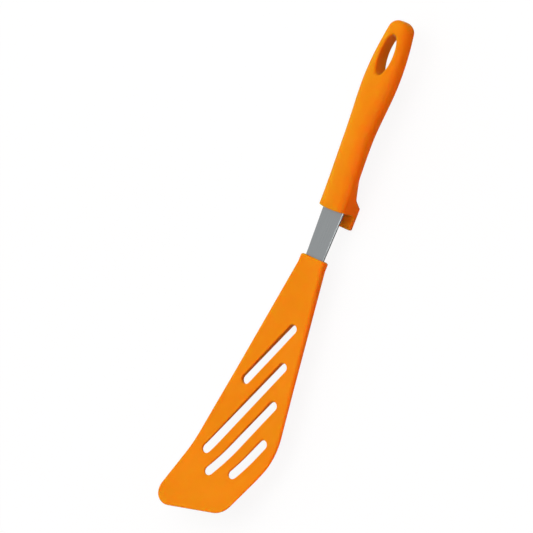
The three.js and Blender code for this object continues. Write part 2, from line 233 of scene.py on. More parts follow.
def grip_middle(y):
    """The level at which the grip is widest."""
    sunk = BUTT_SINK * rise(y, BELLY_AT, HANDLE_LENGTH)
    return blend(MOUTH_RISE, GRIP_RISE, rise(y, 0, BELLY_AT)) - sunk


def grip_back(y):
    """How far the back lies below that level, before the heel drops."""
    return blend(BELLY_HALF, BUTT_BACK, rise(y, BELLY_AT, HANDLE_LENGTH))


def grip_front(y):
    """How far the front lies above that level."""
    towards_belly = blend(MOUTH_FRONT, BELLY_HALF, rise(y, 0, BELLY_AT))
    return blend(towards_belly, BUTT_FRONT, rise(y, BELLY_AT, HANDLE_LENGTH))


for y in (0.0, WAIST_AT, PALM_AT, HANDLE_LENGTH):
    print("grip at", y, "mm is", round(2 * float(grip_half_width(y)), 1), "mm wide")

# %% [markdown]
# ## The heel, the foot and the hook
# At the lower end the back of the handle drops away in a long curve, then a short ramp, and ends in a
# flat foot. A tongue reaches forward from the foot under the steel, so the spatula can hang on the rim
# of a pot and rests with its blade off the worktop. The oval of the grip turns into a near square
# there, because the foot has to be flat and wide.

# %% How far the heel drops
HEEL_RADIUS, SWEEP_DROP, RAMP_LENGTH = 40.0, 2.9, 4.7
FOOT_CORNER, RAMP_SOFTNESS = 0.4, 0.5
RAMP_TOP = FOOT_HEEL + RAMP_LENGTH
SWEEP_START = RAMP_TOP + math.sqrt(HEEL_RADIUS**2 - (HEEL_RADIUS - SWEEP_DROP) ** 2)
FULL_DROP = FOOT_DROP + FOOT_CORNER + float(grip_middle(FOOT_HEEL) - grip_back(FOOT_HEEL))
RAMP_SLOPE = (FULL_DROP - SWEEP_DROP) / RAMP_LENGTH


def heel_drop(y):
    """How far the heel takes the back down: a hollow sweep, then a straight ramp."""
    along_sweep = np.clip(SWEEP_START - y, 0, SWEEP_START - RAMP_TOP)
    sweep = HEEL_RADIUS - np.sqrt(HEEL_RADIUS**2 - along_sweep**2)
    past = RAMP_TOP - y
    along_ramp = (past + np.sqrt(past**2 + RAMP_SOFTNESS**2)) / 2
    return np.minimum(sweep + along_ramp * RAMP_SLOPE, FULL_DROP)


print("the heel drops", round(FULL_DROP, 1), "mm, starting", round(SWEEP_START, 1), "mm behind the mouth")

# %% The oval that turns square
GRIP_SQUARENESS, BUTT_SQUARENESS, HOOK_SQUARENESS = 2.4, 3.0, 9.0
SQUARE_ONSET = 0.1


def grip_oval(x, y, z):
    """Negative inside the oval of the grip, zero on its skin."""
    drop, above = heel_drop(y), z - grip_middle(y)
    squarer = np.sqrt(drop / FULL_DROP + SQUARE_ONSET**2) - SQUARE_ONSET
    squarer = squarer / (math.sqrt(1 + SQUARE_ONSET**2) - SQUARE_ONSET)
    front_power = blend(GRIP_SQUARENESS, BUTT_SQUARENESS, rise(y, BELLY_AT, EYE_AT))
    power = np.where(above > 0, front_power, blend(front_power, HOOK_SQUARENESS, squarer))
    depth = np.where(above > 0, grip_front(y), grip_back(y) + drop)
    oval = np.abs(x / grip_half_width(y)) ** power + np.abs(above / depth) ** power
    return oval ** (1 / power) - 1


belly_front = float(grip_middle(BELLY_AT) + grip_front(BELLY_AT))
print("the belly's front lies", round(belly_front, 1), "mm above the middle of the steel")

# %% [markdown]
# ## Carving the handle
# The oval is cut off at the butt, at the foot and at the end of the tongue. In front of the mouth
# everything above the tongue is cut away, along a slightly crowned end wall, and the hanging eye is a
# long hole whose rim curves in like the mouth of a bell. Every cut leaves its own radius, and at the
# butt the radius is smaller at the front than at the sides.

# %% The handle as one moulding
BUTT_ROUND, BUTT_LIP, BUTT_TRIM, HOOK_END_ROUND, FOOT_EDGE = 5.8, 4.0, 0.4, 1.0, 0.6
MOUTH_CROWN, HOOK_THICKNESS, HOOK_ROOT, MOUTH_LIP = 80.0, 5.4, 1.5, 0.4
EYE_HALF_LENGTH, EYE_HALF_WIDTH, EYE_LIP = 14.0, 4.9, 1.5
HANDLE_REACH, HANDLE_TOP, HANDLE_CUBE = 13, 14, 0.5
TINY, TINIEST = 1e-6, 1e-9


def hanging_eye(x, y):
    """About the distance to the wall of the eye, negative in the hole."""
    across, lengthwise = x / EYE_HALF_WIDTH, (y - EYE_AT) / EYE_HALF_LENGTH
    ring = np.hypot(across, lengthwise)
    steepness = np.hypot(across / EYE_HALF_WIDTH, lengthwise / EYE_HALF_LENGTH)
    return ring * (ring - 1) / np.maximum(steepness, TINY)


def hook_gap(x, y, z):
    """The distance to the gap before the mouth, negative in the gap."""
    end_wall = y - MOUTH_CROWN + np.sqrt(MOUTH_CROWN**2 - x * x)
    return round_edge(end_wall, HOOK_THICKNESS - FOOT_DROP - z, HOOK_ROOT)


def handle_field(x, y, z):
    """Negative inside the handle, zero on its skin."""
    slope = slope_of(grip_oval, x, y, z)
    body = grip_oval(x, y, z) / np.sqrt((slope * slope).sum(axis=-1) + TINY)
    sideways = np.abs(slope[..., 0]) / np.sqrt(slope[..., 0] ** 2 + slope[..., 2] ** 2 + TINIEST)
    body = round_edge(body, y - HANDLE_LENGTH + BUTT_TRIM, blend(BUTT_LIP, BUTT_ROUND, sideways))
    body = round_edge(body, -HOOK_REACH - y, HOOK_END_ROUND)
    body = round_edge(body, -FOOT_DROP - z, FOOT_EDGE)
    body = round_edge(body, -hook_gap(x, y, z), MOUTH_LIP)
    return round_edge(body, -hanging_eye(x, y), EYE_LIP)


handle_low = (-HANDLE_REACH, -HOOK_REACH, -FOOT_DROP)
handle_high = (HANDLE_REACH, HANDLE_LENGTH, HANDLE_TOP)
handle = make_piece("handle_moulding", *wrap(handle_field, handle_low, handle_high, HANDLE_CUBE))
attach(handle, "root")
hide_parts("handle")

# %% [markdown]
# ## Small helpers for node trees
# Some things follow a rule rather than a hand: slots at one pitch, a strip that tapers, a fine line
# along an edge. Geometry Nodes describe such rules well. These helpers add a node, wire it up, give a
# tree named inputs and, once the rule has done its work, keep the result as a plain mesh.

# %% Adding and wiring nodes


def plug(tree, socket, value):
    """Links an input to another node's output, or sets it to a plain value."""
    if isinstance(value, bpy.types.NodeSocket):
        tree.links.new(value, socket)
    else:
        socket.default_value = value


def add(tree, kind, settings=None, by_place=None, **by_name):
    """Adds a node and plugs its inputs, by their place in the list or by name with _ for a space."""
    node = tree.nodes.new(kind)
    for label, value in (settings or {}).items():
        setattr(node, label, value)
    for place, value in (by_place or {}).items():
        plug(tree, node.inputs[place], value)
    for label, value in by_name.items():
        plug(tree, node.inputs[label.replace("_", " ")], value)
    return node


def calc(tree, operation, first, second=0.0):
    """One sum in a tree."""
    return add(tree, "ShaderNodeMath", {"operation": operation}, {0: first, 1: second}).outputs[0]


def mix_colours(tree, share, first, second):
    """From the first colour to the second. A colour mix has its colours at 6 and 7, its result at 2."""
    return add(tree, "ShaderNodeMix", {"data_type": "RGBA"}, {0: share, 6: first, 7: second}).outputs[2]


print("node helpers:", ", ".join(f.__name__ for f in (plug, add, calc, mix_colours)))

# %% Starting, ending and running a tree


def new_tree(name, inputs):
    """A Geometry Nodes tree with named inputs, and the sockets to wire them from."""
    tree = bpy.data.node_groups.new(name, "GeometryNodeTree")
    tree.interface.new_socket("Geometry", in_out="INPUT", socket_type="NodeSocketGeometry")
    for label, kind in inputs.items():
        tree.interface.new_socket(label, in_out="INPUT", socket_type=kind)
    tree.interface.new_socket("Geometry", in_out="OUTPUT", socket_type="NodeSocketGeometry")
    return tree, tree.nodes.new("NodeGroupInput").outputs


def end_tree(tree, geometry, material):
    """Realizes the instances, sets the material and wires the result to the output."""
    solid = add(tree, "GeometryNodeRealizeInstances", Geometry=geometry).outputs[0]
    coated = add(tree, "GeometryNodeSetMaterial", Geometry=solid, Material=material).outputs[0]
    tree.links.new(coated, tree.nodes.new("NodeGroupOutput").inputs[0])


def grow(name, tree, values, start=None):
    """Runs a tree on an object and keeps the result as a plain mesh."""
    piece = bpy.data.objects.new(name, start or bpy.data.meshes.new(name))
    bpy.context.scene.collection.objects.link(piece)
    rule = piece.modifiers.new("rule", "NODES")
    rule.node_group = tree
    for socket in tree.interface.items_tree:
        if socket.in_out == "INPUT" and socket.name in values:
            rule[socket.identifier] = values[socket.name]
    bpy.context.view_layer.update()
    evaluated = piece.evaluated_get(bpy.context.evaluated_depsgraph_get())
    grown = bpy.data.meshes.new_from_object(evaluated)
    piece.modifiers.remove(rule)
    piece.data = grown
    grown.name = name
    print(name, "grew", len(grown.vertices), "points and", len(grown.polygons), "faces")
    return piece


print("tree helpers:", ", ".join(f.__name__ for f in (new_tree, end_tree, grow)))

# %% [markdown]
# ## The finish of the plastic
# The plastic is dyed through and comes out of a mould that was lightly blasted, so it is satin rather
# than glossy, with a very fine grain. Light sinks a little way into it and comes out redder, which is
# why its shaded side looks deep orange instead of brown, and subsurface scattering gives just that.
# Slow patches of colour and polish stand for an uneven melt and for handling.

# %% Noise spread between two values or two colours
NOISE_LOW, NOISE_HIGH = 0.3, 0.7


def new_finish(name):
    """A material with its shader and a socket that gives the place on the object."""
    material = bpy.data.materials.new(name)
    material.use_nodes = True
    tree = material.node_tree
    shader = tree.nodes["Principled BSDF"]
    place = tree.nodes.new("ShaderNodeTexCoord").outputs["Object"]
    return material, tree, shader, place


def patches(tree, place, size, stretch=(1, 1, 1), detail=3.0):
    """A noise whose blotches are about the given size in metres, longer where stretch is small."""
    scaled = add(tree, "ShaderNodeMapping", Vector=place, Scale=[s / size for s in stretch])
    noise = add(tree, "ShaderNodeTexNoise", Vector=scaled.outputs[0], Scale=1.0, Detail=detail)
    return noise.outputs["Fac"]


def between(tree, share, low, high):
    """Spreads a noise between two values."""
    spread = {"From_Min": NOISE_LOW, "From_Max": NOISE_HIGH, "To_Min": low, "To_Max": high}
    return add(tree, "ShaderNodeMapRange", Value=share, **spread).outputs[0]


def tones(tree, share, dark, light):
    """Spreads a noise between two colours."""
    ramp = add(tree, "ShaderNodeValToRGB", Fac=share)
    darker, lighter = ramp.color_ramp.elements
    darker.position, darker.color = NOISE_LOW, (*dark, 1)
    lighter.position, lighter.color = NOISE_HIGH, (*light, 1)
    return ramp.outputs[0]


print("noise counts from", NOISE_LOW, "to", NOISE_HIGH)

# %% Satin orange plastic
MELT_PATCH, HANDLING_PATCH, GRAIN = 0.03, 0.006, 0.0004
GRAIN_HEIGHT, GRAIN_STRENGTH = 0.0001, 0.12
RED_SINKS_DEEPEST = (1.0, 0.12, 0.03)
FAINT_GLOSS = 0.05


def orange_plastic(name, dark, light, polish, depth):
    """Orange that runs between two tones. depth says how far red light sinks in, in metres."""
    material, tree, shader, place = new_finish(name)
    plug(tree, shader.inputs["Base Color"], tones(tree, patches(tree, place, MELT_PATCH), dark, light))
    plug(tree, shader.inputs["Roughness"], between(tree, patches(tree, place, HANDLING_PATCH), *polish))
    grain = patches(tree, place, GRAIN, detail=1.0)
    bump = add(tree, "ShaderNodeBump", Height=grain, Strength=GRAIN_STRENGTH, Distance=GRAIN_HEIGHT)
    plug(tree, shader.inputs["Normal"], bump.outputs[0])
    plug(tree, shader.inputs["Subsurface Weight"], 1.0)
    plug(tree, shader.inputs["Subsurface Radius"], RED_SINKS_DEEPEST)
    plug(tree, shader.inputs["Subsurface Scale"], depth)
    plug(tree, shader.inputs["Specular IOR Level"], FAINT_GLOSS)
    return material


handle_orange = (0.84, 0.288, 0.003), (0.88, 0.31, 0.006)
handle_polish = (0.44, 0.54)
HANDLE_DEPTH = 0.0075
handle_plastic = orange_plastic("orange_handle_plastic", *handle_orange, handle_polish, HANDLE_DEPTH)
handle.data.materials.append(handle_plastic)
print("handle finish:", handle_plastic.name)

# %% [markdown]
# ## Where the slots run
# The slots are parallel and evenly pitched, and each one runs until it comes too close to an edge of
# the blade. They could be placed by hand, but that is a rule, so a node tree works out the two ends of
# every slot and lays one line between them. The lines are read back as plain numbers and guide the
# carving of the blade.

# %% What the slots keep clear of
NECK_HALF, NECK_LENGTH, BARE_LENGTH = 9.75, 6.0, 33.4
BLADE_LENGTH, LOWER_SLANT = 178.1, math.radians(13.0)
SLOT_COUNT, FIRST_SLOT_AT, SLOT_PITCH = 4, 59.25, 32.8
SLOT_WIDTH, SLOT_SLANT = 6.5, math.radians(24.6)
RIGHT_MARGIN, LEFT_MARGIN, LOWER_MARGIN = 7.0, 6.45, 24.4
RIGHT_SLOPE, LEFT_SLOPE = (math.tan(math.radians(a)) for a in (7.5, 9.45))
LOWER_SLOPE = math.tan(LOWER_SLANT)
slot_inputs = {
    "Slots": SLOT_COUNT,
    "First slot": FIRST_SLOT_AT,
    "Pitch": SLOT_PITCH,
    "Slant": SLOT_SLANT,
    "Right room": NECK_HALF - RIGHT_MARGIN - SLOT_WIDTH / 2 - NECK_LENGTH * RIGHT_SLOPE,
    "Left room": NECK_HALF - LEFT_MARGIN - SLOT_WIDTH / 2 - NECK_LENGTH * LEFT_SLOPE,
    "Right slope": RIGHT_SLOPE,
    "Left slope": LEFT_SLOPE,
    "Lowest": BLADE_LENGTH - LOWER_MARGIN - SLOT_WIDTH / 2,
    "Lower slope": LOWER_SLOPE,
}
print(SLOT_COUNT, "slots", SLOT_WIDTH, "mm wide, one every", SLOT_PITCH, "mm")

# %% A tree that works out both ends of every slot
slot_kinds = {label: "NodeSocketFloat" for label in slot_inputs} | {"Slots": "NodeSocketInt"}
slot_tree, given = new_tree("slot_lines", slot_kinds)
put, work_out = partial(add, slot_tree), partial(calc, slot_tree)
lean = work_out("TANGENT", given["Slant"])
crossing = work_out("MULTIPLY", put("GeometryNodeInputIndex").outputs[0], given["Pitch"])
reach = work_out("MULTIPLY", lean, work_out("ADD", crossing, given["First slot"]))
right_steepness = work_out("ADD", lean, given["Right slope"])
upper = work_out("DIVIDE", work_out("SUBTRACT", reach, given["Right room"]), right_steepness)
left_steepness = work_out("SUBTRACT", lean, given["Left slope"])
left_end = work_out("DIVIDE", work_out("ADD", reach, given["Left room"]), left_steepness)
low_room = work_out("SUBTRACT", given["Lowest"], work_out("MULTIPLY", given["Lower slope"], reach))
low_share = work_out("SUBTRACT", 1.0, work_out("MULTIPLY", given["Lower slope"], lean))
lower = work_out("MINIMUM", left_end, work_out("DIVIDE", low_room, low_share))
drop = work_out("SUBTRACT", lower, upper)
length = work_out("DIVIDE", drop, work_out("COSINE", given["Slant"]))
across = work_out("SUBTRACT", reach, work_out("MULTIPLY", lean, upper))
start_at = put("ShaderNodeCombineXYZ", X=across, Y=work_out("MULTIPLY", upper, -1.0))
print("the tree of the slots has", len(slot_tree.nodes), "nodes so far")

# %% One line for every slot
row = put("GeometryNodeMeshLine", Count=given["Slots"])
row = put("GeometryNodeSetPosition", Geometry=row.outputs[0], Position=start_at.outputs[0])
stroke = put("GeometryNodeMeshLine", Count=2, Offset=(0, -1, 0))
turn = put("ShaderNodeCombineXYZ", Z=work_out("MULTIPLY", given["Slant"], -1.0))
turned = put("FunctionNodeEulerToRotation", Euler=turn.outputs[0])
stretch = put("ShaderNodeCombineXYZ", X=1.0, Y=length, Z=1.0)
strokes = put(
    "GeometryNodeInstanceOnPoints",
    Points=row.outputs[0],
    Instance=stroke.outputs[0],
    Rotation=turned.outputs[0],
    Scale=stretch.outputs[0],
)
end_tree(slot_tree, strokes.outputs[0], handle_plastic)
slot_guide = grow("slot_guide", slot_tree, slot_inputs)
slot_ends = np.array([v.co for v in slot_guide.data.vertices]).reshape(-1, 2, 3)
bpy.data.objects.remove(slot_guide)
for first, last in slot_ends:
    print("slot from", (-first[1]).round(1), "to", (-last[1]).round(1), "mm below the neck")

# %% [markdown]
# ## The outline of the blade
# Seen from the front the blade widens from the neck, has a slanting toe on its right and a blunt tip
# on its left. A maker would draw six straight lines and round their corners, and so does this: every
# side is a distance to a line, and round_edge joins them. The two flares at the neck are hollow
# corners, so there the signs are turned round.

# %% Six sides and their corners
LEFT_SPREAD, RIGHT_SPREAD, TOE_SLANT = (math.radians(a) for a in (10.1, 8.25, 18.5))
SHOULDER_AT, SHOULDER_ROUND = 127.9, 52.0
TOE_ROUND, TIP_ROUND, NECK_BLEND = 11.9, 10.3, 12.0
SHOULDER_X = NECK_HALF + (SHOULDER_AT - NECK_LENGTH) * math.tan(RIGHT_SPREAD)
TOE_TOP = SHOULDER_X + SHOULDER_AT * math.tan(TOE_SLANT)


def blade_outline(x, along):
    """Distance to the edge of the blade seen from the front."""
    spread = along - NECK_LENGTH
    left = (-NECK_HALF - spread * math.tan(LEFT_SPREAD) - x) * math.cos(LEFT_SPREAD)
    right = (x - NECK_HALF - spread * math.tan(RIGHT_SPREAD)) * math.cos(RIGHT_SPREAD)
    left = -round_edge(-left, NECK_HALF + x, NECK_BLEND, math.cos(LEFT_SPREAD))
    right = -round_edge(-right, NECK_HALF - x, NECK_BLEND, math.cos(RIGHT_SPREAD))
    toe = (x - TOE_TOP + along * math.tan(TOE_SLANT)) * math.cos(TOE_SLANT)
    low = (along - BLADE_LENGTH + x * LOWER_SLOPE) * math.cos(LOWER_SLANT)
    tip_corner = round_edge(left, low, TIP_ROUND, -math.sin(LEFT_SPREAD + LOWER_SLANT))
    shoulder = round_edge(right, toe, SHOULDER_ROUND, math.cos(RIGHT_SPREAD + TOE_SLANT))
    toe_corner = round_edge(toe, low, TOE_ROUND, math.sin(TOE_SLANT + LOWER_SLANT))
    return np.maximum(np.maximum(tip_corner, shoulder), toe_corner)


print("the shoulder lies", round(SHOULDER_X, 1), "mm to the right of the middle")

# %% [markdown]
# ## Carving the blade
# The blade thins steadily from nearly seven millimetres at the neck to about one at the edge that
# slides under the food, and its last part is bent towards the front. Thickness and bend are each one
# short rule. The slots are cut straight through with a small radius on their rims, and the outer edge
# gets a larger one, as it does on a tool that touches non-stick pans.

# %% Thickness and bend
NECK_THICKNESS, THIN_AT, THIN_THICKNESS, LIP_THICKNESS = 6.6, 141.3, 2.1, 1.1
BEND_AT, BEND_RADIUS, BEND_ANGLE = 134.1, 53.0, math.radians(17.4)


def blade_half(along):
    """Half the thickness of the blade."""
    steps = [NECK_LENGTH, THIN_AT, BLADE_LENGTH]
    return np.interp(along, steps, [NECK_THICKNESS / 2, THIN_THICKNESS / 2, LIP_THICKNESS / 2])


def blade_middle(along):
    """Height of the blade's middle: flat, then an arc, then a straight rise."""
    past = np.maximum(along - BEND_AT, 0)
    on_arc = np.minimum(past, BEND_RADIUS * math.sin(BEND_ANGLE))
    arc = BEND_RADIUS - np.sqrt(BEND_RADIUS**2 - on_arc**2)
    return arc + (past - on_arc) * math.tan(BEND_ANGLE)


print("the lower edge is bent up by", round(float(blade_middle(BLADE_LENGTH)), 1), "mm")

# %% The blade as one moulding
EDGE_ROUND, NECK_ROUND, SLOT_RIM = 2.0, 1.5, 0.45
BLADE_LEFT, BLADE_RIGHT, BLADE_BOTTOM, BLADE_TOP = -41, 28, -4, 15
TIP_ALLOWANCE, BLADE_CUBE = 8, 0.5
FAR_AWAY = 100.0


def slots_field(x, along):
    """The distance to the nearest slot, negative inside it."""
    nearest = np.full_like(x, FAR_AWAY)
    for first, last in slot_ends:
        run = last - first
        share = np.clip(((x - first[0]) * run[0] + (-along - first[1]) * run[1]) / (run @ run), 0, 1)
        from_line = np.hypot(x - first[0] - share * run[0], -along - first[1] - share * run[1])
        nearest = np.minimum(nearest, from_line - SLOT_WIDTH / 2)
    return nearest


def blade_field(x, y, z):
    """Negative inside the blade, zero on its skin."""
    along = -BARE_LENGTH - y
    half = blade_half(along)
    plate = np.abs(z - blade_middle(along)) - half
    body = round_edge(blade_outline(x, along), plate, np.minimum(EDGE_ROUND, half))
    body = round_edge(body, -along, NECK_ROUND)
    return round_edge(body, -slots_field(x, along), SLOT_RIM)


blade_low = (BLADE_LEFT, -BARE_LENGTH - BLADE_LENGTH - TIP_ALLOWANCE, BLADE_BOTTOM)
blade_high = (BLADE_RIGHT, -BARE_LENGTH, BLADE_TOP)
blade = make_piece("blade_moulding", *wrap(blade_field, blade_low, blade_high, BLADE_CUBE))
blade_orange = (0.86, 0.278, 0.003), (0.9, 0.3, 0.006)
blade_polish = (0.42, 0.52)
BLADE_DEPTH = 0.0015
blade_plastic = orange_plastic("orange_blade_plastic", *blade_orange, blade_polish, BLADE_DEPTH)
blade.data.materials.append(blade_plastic)
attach(blade, "root")
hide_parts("blade")

# %% [markdown]
# ## The finish of the steel
# Rolled stainless sheet has a fine grain along the roll, which makes its reflections soft across the
# strip. A noise stretched lengthwise gives colour, polish and bump at once. The narrow sides get a
# painted shade: the colour turns nearly black on faces that look sideways. The tumbled cut edges are
# duller than the rolled faces too, but most of that darkness is painted shade.

# %% Brushed steel
GRAIN_WIDTH, ALONG_THE_ROLL = 0.0003, (1.0, 0.01, 1.0)
# The last of these colours is painted shade for the strip's narrow sides.
STEEL_DARK, STEEL_LIGHT, PAINTED_SIDE_SHADE = (0.264, 0.279, 0.285), (0.304, 0.319, 0.325), (0.06, 0.063, 0.063)
STEEL_POLISH = (0.27, 0.4)
BRUSH_STRENGTH, BRUSH_HEIGHT = 0.1, 0.00005


def brushed_steel(name):
    """Steel with a grain along Y and a painted shade on its narrow sides."""
    material, tree, shader, place = new_finish(name)
    lines = patches(tree, place, GRAIN_WIDTH, ALONG_THE_ROLL)
    sheet_colour = tones(tree, lines, STEEL_DARK, STEEL_LIGHT)
    outwards = tree.nodes.new("ShaderNodeTexCoord").outputs["Normal"]
    facing = add(tree, "ShaderNodeSeparateXYZ", Vector=outwards)
    flat = calc(tree, "POWER", calc(tree, "ABSOLUTE", facing.outputs["Z"]), 2.0)
    # Faces that look sideways get the painted shade; faces to the front and back keep the sheet's colour.
    plug(tree, shader.inputs["Base Color"], mix_colours(tree, flat, (*PAINTED_SIDE_SHADE, 1), sheet_colour))
    plug(tree, shader.inputs["Roughness"], between(tree, lines, *STEEL_POLISH))
    bump = add(tree, "ShaderNodeBump", Height=lines, Strength=BRUSH_STRENGTH, Distance=BRUSH_HEIGHT)
    plug(tree, shader.inputs["Normal"], bump.outputs[0])
    plug(tree, shader.inputs["Metallic"], 1.0)
    return material


shank_steel = brushed_steel("brushed_shank_steel")
print("strip finish:", shank_steel.name)

# %% [markdown]
# ## The steel strip
# The strip is two millimetres thick, with its edges broken so that they do not cut. It tapers a little
# from handle to blade, and inside the plastic it goes on as a narrower tang and as a tongue. A box
# could be scaled to fit, but a node tree that sweeps a section along a line and then narrows it keeps
# every size as a named input.

# %% Sweeping the section along the strip
STRIP_STEPS = 150
strip_inputs = {
    "Handle end": 83.5,
    "Blade end": -62.35,
    "Thickness": 2.0,
    "Edge": 0.35,
    "Mouth width": 16.0,
    "Neck width": 13.8,
    "Bare length": BARE_LENGTH,
    "Shoulder start": 4.0,
    "Shoulder end": 6.0,
    "Tang width": 11.5,
}
strip_tree, given = new_tree("steel_strip", {label: "NodeSocketFloat" for label in strip_inputs})
put, work_out = partial(add, strip_tree), partial(calc, strip_tree)
begin = put("ShaderNodeCombineXYZ", Y=given["Handle end"])
finish = put("ShaderNodeCombineXYZ", Y=given["Blade end"])
line = put("GeometryNodeCurvePrimitiveLine", Start=begin.outputs[0], End=finish.outputs[0])
line = put("GeometryNodeResampleCurve", Curve=line.outputs[0], Count=STRIP_STEPS)
line = put("GeometryNodeSetCurveNormal", {"mode": "Z_UP"}, Curve=line.outputs[0])
section_size = {"Width": given["Mouth width"], "Height": given["Thickness"]}
section = put("GeometryNodeCurvePrimitiveQuadrilateral", **section_size)
broken_edge = {"Curve": section.outputs[0], "Radius": given["Edge"], "Count": 1}
section = put("GeometryNodeFilletCurve", {"mode": "POLY"}, **broken_edge)
swept = {"Curve": line.outputs[0], "Profile_Curve": section.outputs[0], "Fill_Caps": True}
sweep = put("GeometryNodeCurveToMesh", **swept)
print("the strip is swept in", STRIP_STEPS, "steps")

# %% Narrowing the sweep to the strip's outline
spot = put("ShaderNodeSeparateXYZ", Vector=put("GeometryNodeInputPosition").outputs[0])
neck_at = work_out("MULTIPLY", given["Bare length"], -1.0)
taper = {"From_Min": 0.0, "From_Max": neck_at, "To_Min": given["Mouth width"], "To_Max": given["Neck width"]}
bare_width = put("ShaderNodeMapRange", Value=spot.outputs["Y"], **taper).outputs[0]
tang = {"From_Min": given["Shoulder start"], "From_Max": given["Shoulder end"]}
tang |= {"To_Min": bare_width, "To_Max": given["Tang width"]}
width = put("ShaderNodeMapRange", Value=spot.outputs["Y"], **tang).outputs[0]
narrowing = work_out("DIVIDE", width, given["Mouth width"])
narrowed = work_out("MULTIPLY", spot.outputs["X"], narrowing)
moved = put("ShaderNodeCombineXYZ", X=narrowed, Y=spot.outputs["Y"], Z=spot.outputs["Z"])
shaped = put("GeometryNodeSetPosition", Geometry=sweep.outputs[0], Position=moved.outputs[0])
crisp = put("GeometryNodeSetShadeSmooth", Geometry=shaped.outputs[0], Shade_Smooth=False)
end_tree(strip_tree, crisp.outputs[0], shank_steel)
strip = grow("steel_strip", strip_tree, strip_inputs)
strip.data.transform(Matrix.Translation(in_frame([0, 0, 0])) @ Matrix.Scale(MM, 4))
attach(strip, "root")
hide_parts("shank")

# %% [markdown]
# ## The parting lines
# A mould opens in two halves, and where the halves meet the plastic keeps a hair-fine raised line. It
# runs along the sides and round the butt of the handle, and round the edge of the blade. A bump in the
# material would vanish in the mesh, so the line is real: its points are set beside the moulding and
# pulled on to its skin, and a node tree lays a thin bead along them.

# %% A bead along a line of points
BEAD_RADIUS, BEAD_SIDES = 0.00005, 6
BEAD_DEPTH = 0.00002
PULL_ROUNDS = 40
bead_tree, given = new_tree("parting_line", {"Bead": "NodeSocketFloat", "Finish": "NodeSocketMaterial"})
put = partial(add, bead_tree)
path = put("GeometryNodeMeshToCurve", Mesh=given["Geometry"])
thread = put("GeometryNodeCurvePrimitiveCircle", Resolution=BEAD_SIDES, Radius=given["Bead"])
swept = {"Curve": path.outputs[0], "Profile_Curve": thread.outputs[0], "Fill_Caps": True}
bead = put("GeometryNodeCurveToMesh", **swept)
end_tree(bead_tree, bead.outputs[0], given["Finish"])


def parting_line(name, field, points, plastic):
    """A bead over the skin of a moulding, through points that start beside it."""
    points = settle(field, points, rounds=PULL_ROUNDS)
    mesh = bpy.data.meshes.new(name)
    mesh.from_pydata(in_frame(points).tolist(), [[k, k + 1] for k in range(len(points) - 1)], [])
    piece = grow(name, bead_tree, {"Bead": BEAD_RADIUS, "Finish": plastic}, mesh)
    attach(piece, "root")


print("the bead stands", round(BEAD_RADIUS / MM, 3), "mm proud")

# %% Along the sides and round the butt of the handle
SEAM_START, SEAM_STEP = 1.5, 1.0
CAP_LENGTH, CAP_HALF, CAP_POINTS = 4, 5, 41
side_y = np.arange(SEAM_START, HANDLE_LENGTH - CAP_LENGTH, SEAM_STEP)
round_butt = np.linspace(0, math.pi, CAP_POINTS)[1:-1]
cap_x = CAP_HALF * np.cos(round_butt)
cap_y = HANDLE_LENGTH - CAP_LENGTH + CAP_LENGTH * np.sin(round_butt)
seam_x = np.concatenate([grip_half_width(side_y), cap_x, -grip_half_width(side_y[::-1])])
seam_y = np.concatenate([side_y, cap_y, side_y[::-1]])
seam = np.stack([seam_x, seam_y, grip_middle(seam_y)], axis=-1)
handle_seam = orange_plastic("orange_handle_seam", *handle_orange, handle_polish, BEAD_DEPTH)
parting_line("handle_parting_line", handle_field, seam, handle_seam)

# %% Round the edge of the blade
EDGE_START = 2
toe_slope, left_slope = math.tan(TOE_SLANT), math.tan(LEFT_SPREAD)
lowest_x = (TOE_TOP - BLADE_LENGTH * toe_slope) / (1 - LOWER_SLOPE * toe_slope)
tip_x = -(NECK_HALF + (BLADE_LENGTH - NECK_LENGTH) * left_slope) / (1 - LOWER_SLOPE * left_slope)
corners = [
    (-NECK_HALF, EDGE_START),
    (-NECK_HALF, NECK_LENGTH),
    (tip_x, BLADE_LENGTH - LOWER_SLOPE * tip_x),
    (lowest_x, BLADE_LENGTH - LOWER_SLOPE * lowest_x),
    (TOE_TOP - SHOULDER_AT * toe_slope, SHOULDER_AT),
    (NECK_HALF, NECK_LENGTH),
    (NECK_HALF, EDGE_START),
]
pairs = zip(corners, corners[1:])
sides = [np.linspace(a, b, 2 + int(math.dist(a, b)), endpoint=False) for a, b in pairs]
edge_x, edge_along = np.concatenate(sides).T
edge = np.stack([edge_x, -BARE_LENGTH - edge_along, blade_middle(edge_along)], axis=-1)
blade_seam = orange_plastic("orange_blade_seam", *blade_orange, blade_polish, BEAD_DEPTH)
parting_line("blade_parting_line", blade_field, edge, blade_seam)

# %% [markdown]
# ## The white sheet
# The tool lies on a plain sheet of paper, as in a catalogue picture. To the camera, and to reflections,
# most of the sheet's white is given out rather than lit, so it reaches white without more light on
# the tool, and the rest keeps a faint shadow. For light that only bounces, the sheet is darker.

# %% Paper that looks white and keeps a shadow
SHEET_HALF, PAPER_PATCH, PAPER_ROUGHNESS = 6, 0.2, 0.9
PAPER_DARK, PAPER_LIGHT, PAPER_BOUNCE = (0.88, 0.88, 0.88), (0.92, 0.92, 0.92), (0.32, 0.32, 0.32, 1)
OWN_WHITE, OWN_SHARE = 1.02, 0.88
sheet_corners = [(x * SHEET_HALF, y * SHEET_HALF, 0) for x, y in ((-1, -1), (1, -1), (1, 1), (-1, 1))]


def plain_to_see(tree):
    """1 for rays from the camera, a mirror or glass, and 0 for light that only bounces."""
    ray = tree.nodes.new("ShaderNodeLightPath").outputs
    mirrored = calc(tree, "MAXIMUM", ray["Is Glossy Ray"], ray["Is Transmission Ray"])
    return calc(tree, "MAXIMUM", ray["Is Camera Ray"], mirrored)


